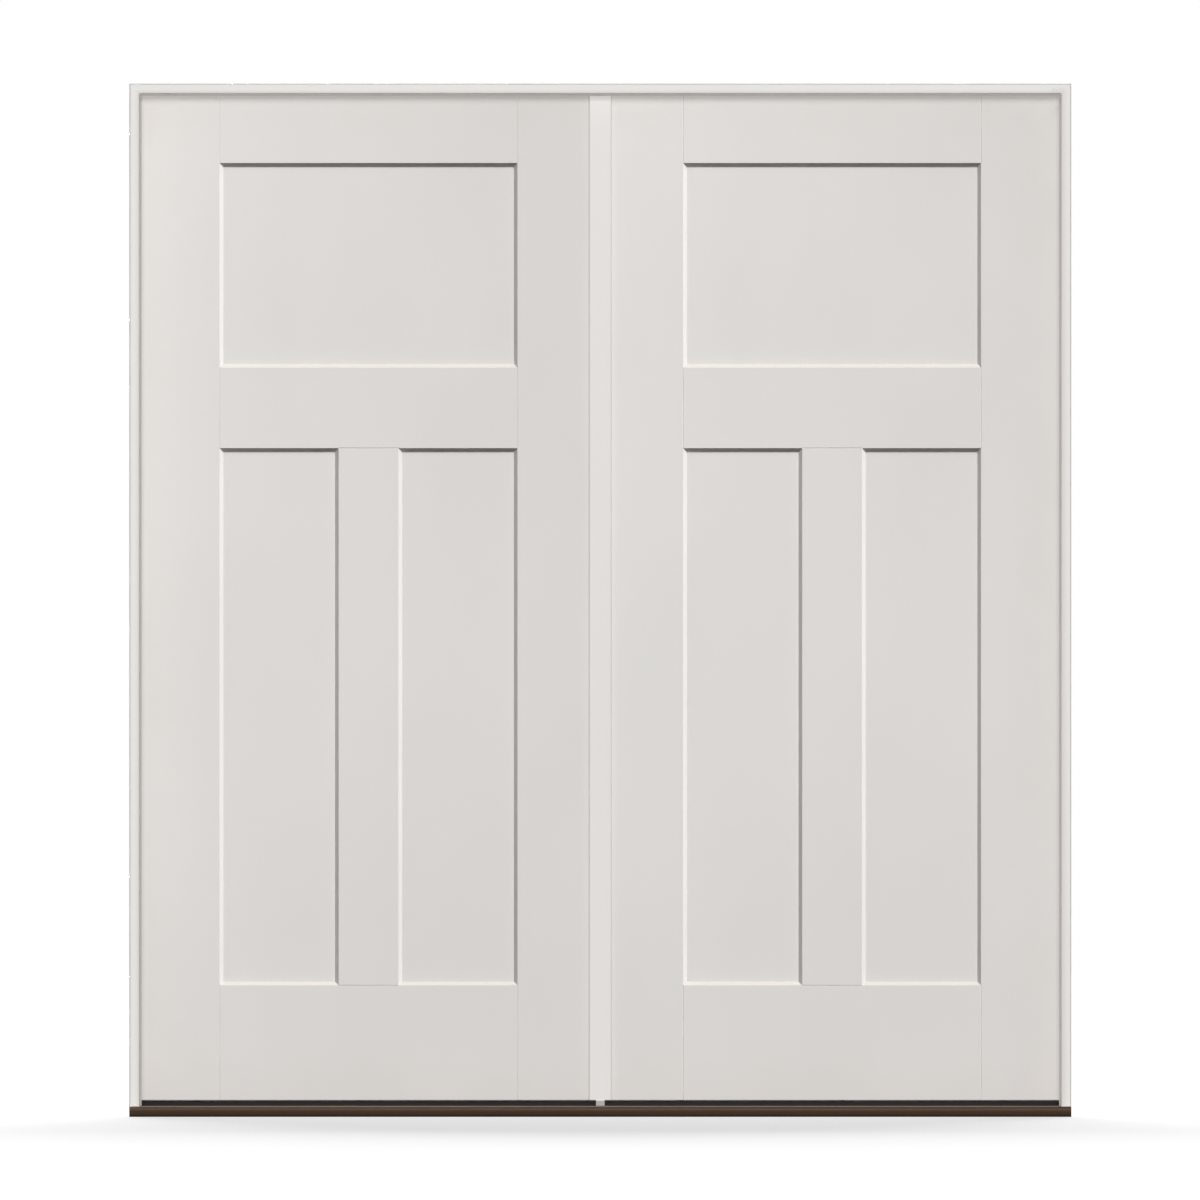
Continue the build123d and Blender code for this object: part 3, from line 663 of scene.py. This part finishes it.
# %% A screw head
def screw_head(mesh, radius, place, facing, turn):
    """Add one flat head with a cross recess, facing along a direction."""
    height, recess = 0.35 * MM, 0.3 * MM
    rim = bmesh.ops.create_circle(mesh, cap_ends=False, radius=radius, segments=20)["verts"]
    edges = dict.fromkeys(edge for vert in rim for edge in vert.link_edges)
    wall = bmesh.ops.extrude_edge_only(mesh, edges=list(edges))["geom"]
    top = [item for item in wall if isinstance(item, bmesh.types.BMVert)]
    top_edges = [item for item in wall if isinstance(item, bmesh.types.BMEdge)
                 and all(vert in top for vert in item.verts)]
    bmesh.ops.translate(mesh, verts=top, vec=(0, 0, height))
    bmesh.ops.scale(mesh, verts=top, vec=(0.93, 0.93, 1))
    arm, half = 0.55 * radius, 0.13 * radius
    outline = [(arm, -half), (arm, half), (half, half), (half, arm), (-half, arm), (-half, half),
               (-arm, half), (-arm, -half), (-half, -half), (-half, -arm), (half, -arm), (half, -half)]
    cross = [bmesh.ops.create_vert(mesh, co=(x, y, height))["vert"][0] for x, y in outline]
    cross_edges = [mesh.edges.new((cross[i - 1], cross[i])) for i in range(len(cross))]
    bmesh.ops.triangle_fill(mesh, use_beauty=True, edges=top_edges + cross_edges)
    sunk = bmesh.ops.extrude_edge_only(mesh, edges=cross_edges)["geom"]
    low = [item for item in sunk if isinstance(item, bmesh.types.BMVert)]
    low_edges = [item for item in sunk if isinstance(item, bmesh.types.BMEdge)
                 and all(vert in low for vert in item.verts)]
    bmesh.ops.translate(mesh, verts=low, vec=(0, 0, -recess))
    bmesh.ops.triangle_fill(mesh, use_beauty=True, edges=low_edges)
    made = list(dict.fromkeys(rim + top + cross + low))
    aim = Vector(facing).to_track_quat("Z", "Y").to_matrix() @ Matrix.Rotation(turn, 3, "Z")
    bmesh.ops.rotate(mesh, verts=made, matrix=aim)
    bmesh.ops.translate(mesh, verts=made, vec=place)


sample = bmesh.new()
screw_head(sample, 4.4 * MM, Vector(), (0, 0, 1), 0.0)
print("one head has", len(sample.faces), "faces")
sample.free()

# %% [markdown]
# No two screws stop at the same angle, so each head is turned on from the one before.
# The heads of one plate are joined in one piece, which rides on the body that the plate
# is screwed to. Each hinge plate has two screws near its knuckle and two nearer the stop.


# %% Hinge screws
def add_screws(name, radius, places, facing, body, finish):
    """Add a row of screw heads as one piece that rides on a body."""
    mesh = bmesh.new()
    for index, place in enumerate(places):
        screw_head(mesh, radius, Vector(place), facing, 0.7 * index)
    bmesh.ops.recalc_face_normals(mesh, faces=mesh.faces)
    piece = bpy.data.objects.new(name, bpy.data.meshes.new(name))
    mesh.to_mesh(piece.data)
    mesh.free()
    piece.data.materials.append(finish)
    bpy.context.scene.collection.objects.link(piece)
    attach(piece, body)


hinge_holes = [(105 * MM, 36 * MM), (89 * MM, 16 * MM)]
for side, sign in (("left", -1), ("right", 1)):
    plates = [("frame_leaf", "frame", -sign, jamb_face), ("door_leaf", f"{side}_leaf", sign, leaf_edge)]
    for row in ("top", "middle", "bottom"):
        for plate, body, facing, face in plates:
            low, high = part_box(f"{side}_{row}_hinge_{plate}")
            middle = (low.z + high.z) / 2
            places = [(sign * face, depth, middle + up * rise)
                      for depth, rise in hinge_holes for up in (-1, 1)]
            add_screws(f"{side}_{row}_{plate}_screws", 4.4 * MM, places, (facing, 0, 0),
                       body, nickel)

# %% [markdown]
# The astragal is screwed through its stem to the left leaf, the cap to the sill, and the
# strike plate to the head. The jambs are screwed to the head and the sill through their
# backs. All of these are the same head in other sizes.

# %% Other screws
stem_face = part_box("bolt_keepers")[1].x
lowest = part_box("bottom_flush_bolt")[1].z + 140 * MM
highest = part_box("top_flush_bolt")[0].z - 140 * MM
stem_rows = [lowest + step * (highest - lowest) / 4 for step in range(5)]
stem_places = [(stem_face, (leaf_front + leaf_back) / 2, z) for z in stem_rows]
add_screws("astragal_screws", 4.4 * MM, stem_places, (1, 0, 0), "left_leaf", zinc)

cap_low, cap_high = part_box("sill_cap")
cap_reach = jamb_face - 120 * MM
cap_columns = [-cap_reach + step * 2 * cap_reach / 5 for step in range(6)]
cap_places = [(x, (cap_low.y + cap_high.y) / 2, cap_high.z) for x in cap_columns]
add_screws("cap_screws", 3.6 * MM, cap_places, (0, 0, 1), "frame", zinc)

strike_low, strike_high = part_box("head_strike_plate")
strike = (strike_low + strike_high) / 2
strike_places = [(strike.x + shift, strike.y, strike_low.z) for shift in (-20 * MM, 20 * MM)]
add_screws("strike_plate_screws", 3.4 * MM, strike_places, (0, 0, -1), "frame", zinc)

jamb_rows = [(head_top - 7 * MM, (30 * MM, 90 * MM)), (10.5 * MM, (20 * MM, 60 * MM, 98 * MM))]
for side, sign in (("left", -1), ("right", 1)):
    places = [(sign * jamb_back, depth, height) for height, depths in jamb_rows for depth in depths]
    add_screws(f"{side}_jamb_screws", 4.2 * MM, places, (sign, 0, 0), "frame", zinc)
print("screws are in")

# %% [markdown]
# Shoes slip on a flat metal tread, so the extrusion carries low ribs along it. One rib
# is a thin block, bevelled over its two top edges, and it repeats up the slope.

# %% Tread ribs
tread_low, tread_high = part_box("sill_tread")
tread_rise = 0.8 * MM
slope = tread_rise / (tread_high.y - tread_low.y)
rib_length = 2 * stop_edge - 3.5 * MM
rib_width, rib_height, rib_pitch = 2.0 * MM, 0.25 * MM, 8.0 * MM
first_rib, rib_count = -8 * MM, 9

ribs = bmesh.new()
for step in range(rib_count):
    depth = first_rib + step * rib_pitch
    foot = tread_high.z - tread_rise + slope * (depth - tread_low.y)
    block = bmesh.ops.create_cube(ribs, size=1.0)["verts"]
    bmesh.ops.scale(ribs, verts=block, vec=(rib_length, rib_width, 2 * rib_height))
    bmesh.ops.translate(ribs, verts=block, vec=(0, depth, foot))
    edges = dict.fromkeys(edge for vert in block for edge in vert.link_edges)
    crown = [edge for edge in edges if edge.calc_length() > rib_width + 1 * MM
             and all(end.co.z > foot for end in edge.verts)]
    bmesh.ops.bevel(ribs, geom=crown, offset=0.3 * MM, offset_type="OFFSET", affect="EDGES",
                    segments=3, profile=0.5, material=-1)
tread_ribs = bpy.data.objects.new("sill_tread_ribs", bpy.data.meshes.new("sill_tread_ribs"))
ribs.to_mesh(tread_ribs.data)
ribs.free()
tread_ribs.data.materials.append(bronze)
bpy.context.scene.collection.objects.link(tread_ribs)
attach(tread_ribs, "frame")
print("ribs", len(tread_ribs.data.polygons), "faces")

# %% [markdown]
# The frame and the sill are lit apart from the leaves, as a photographer would do with
# barn doors on each lamp. The key and the graze light the leaves and their fittings and
# pass the slim parts in front of them. The frame, the astragal, the strips and the pale
# pine in the leaves, whose tops would burn out under the key, have the front lamp. The
# sill has a lamp from above, and the floor has its own.


# %% Light the frame apart
def choose(lamp, role, state, names):
    """Name the objects that a lamp alone lights, doesn't light, or isn't blocked by."""
    group = bpy.data.collections.new(f"{lamp.name}_{role}")
    setattr(lamp.light_linking, f"{role}_collection", group)
    for name in names:
        group.objects.link(bpy.data.objects[name])
    for entry in group.collection_objects:
        entry.light_linking.link_state = state


surround = ["left_jamb", "right_jamb", "head_jamb", "astragal_body", "astragal_seal"]
strips = ["left_weatherstrip", "right_weatherstrip", "head_weatherstrip"]
sill = ["sill_tread", "sill_tread_ribs", "sill_cap", "sill_substrate"]
timbers = [part["node"] for part in frame["record"]["subparts"] if part["material_slot"] == "stile_wood"]
own_light = {front: surround + strips + timbers, sill_lamp: sill, floor_lamp: ["floor"]}
for lamp, lit_names in own_light.items():
    choose(lamp, "receiver", "INCLUDE", lit_names)
for lamp in (key, graze):
    choose(lamp, "receiver", "EXCLUDE", surround + strips + timbers + sill + ["floor"])
for lamp in (room_key, room_fill):
    choose(lamp, "receiver", "EXCLUDE", ["floor"])
for lamp in (graze, sill_lamp, room_key, room_fill, floor_lamp):
    passed = surround if lamp in (graze, sill_lamp) else []
    choose(lamp, "blocker", "EXCLUDE", passed + key_flags + front_flags)
choose(key, "blocker", "EXCLUDE", surround + strips + front_flags)
choose(front, "blocker", "EXCLUDE", surround + key_flags)
print("lamps that light chosen things", len(own_light))
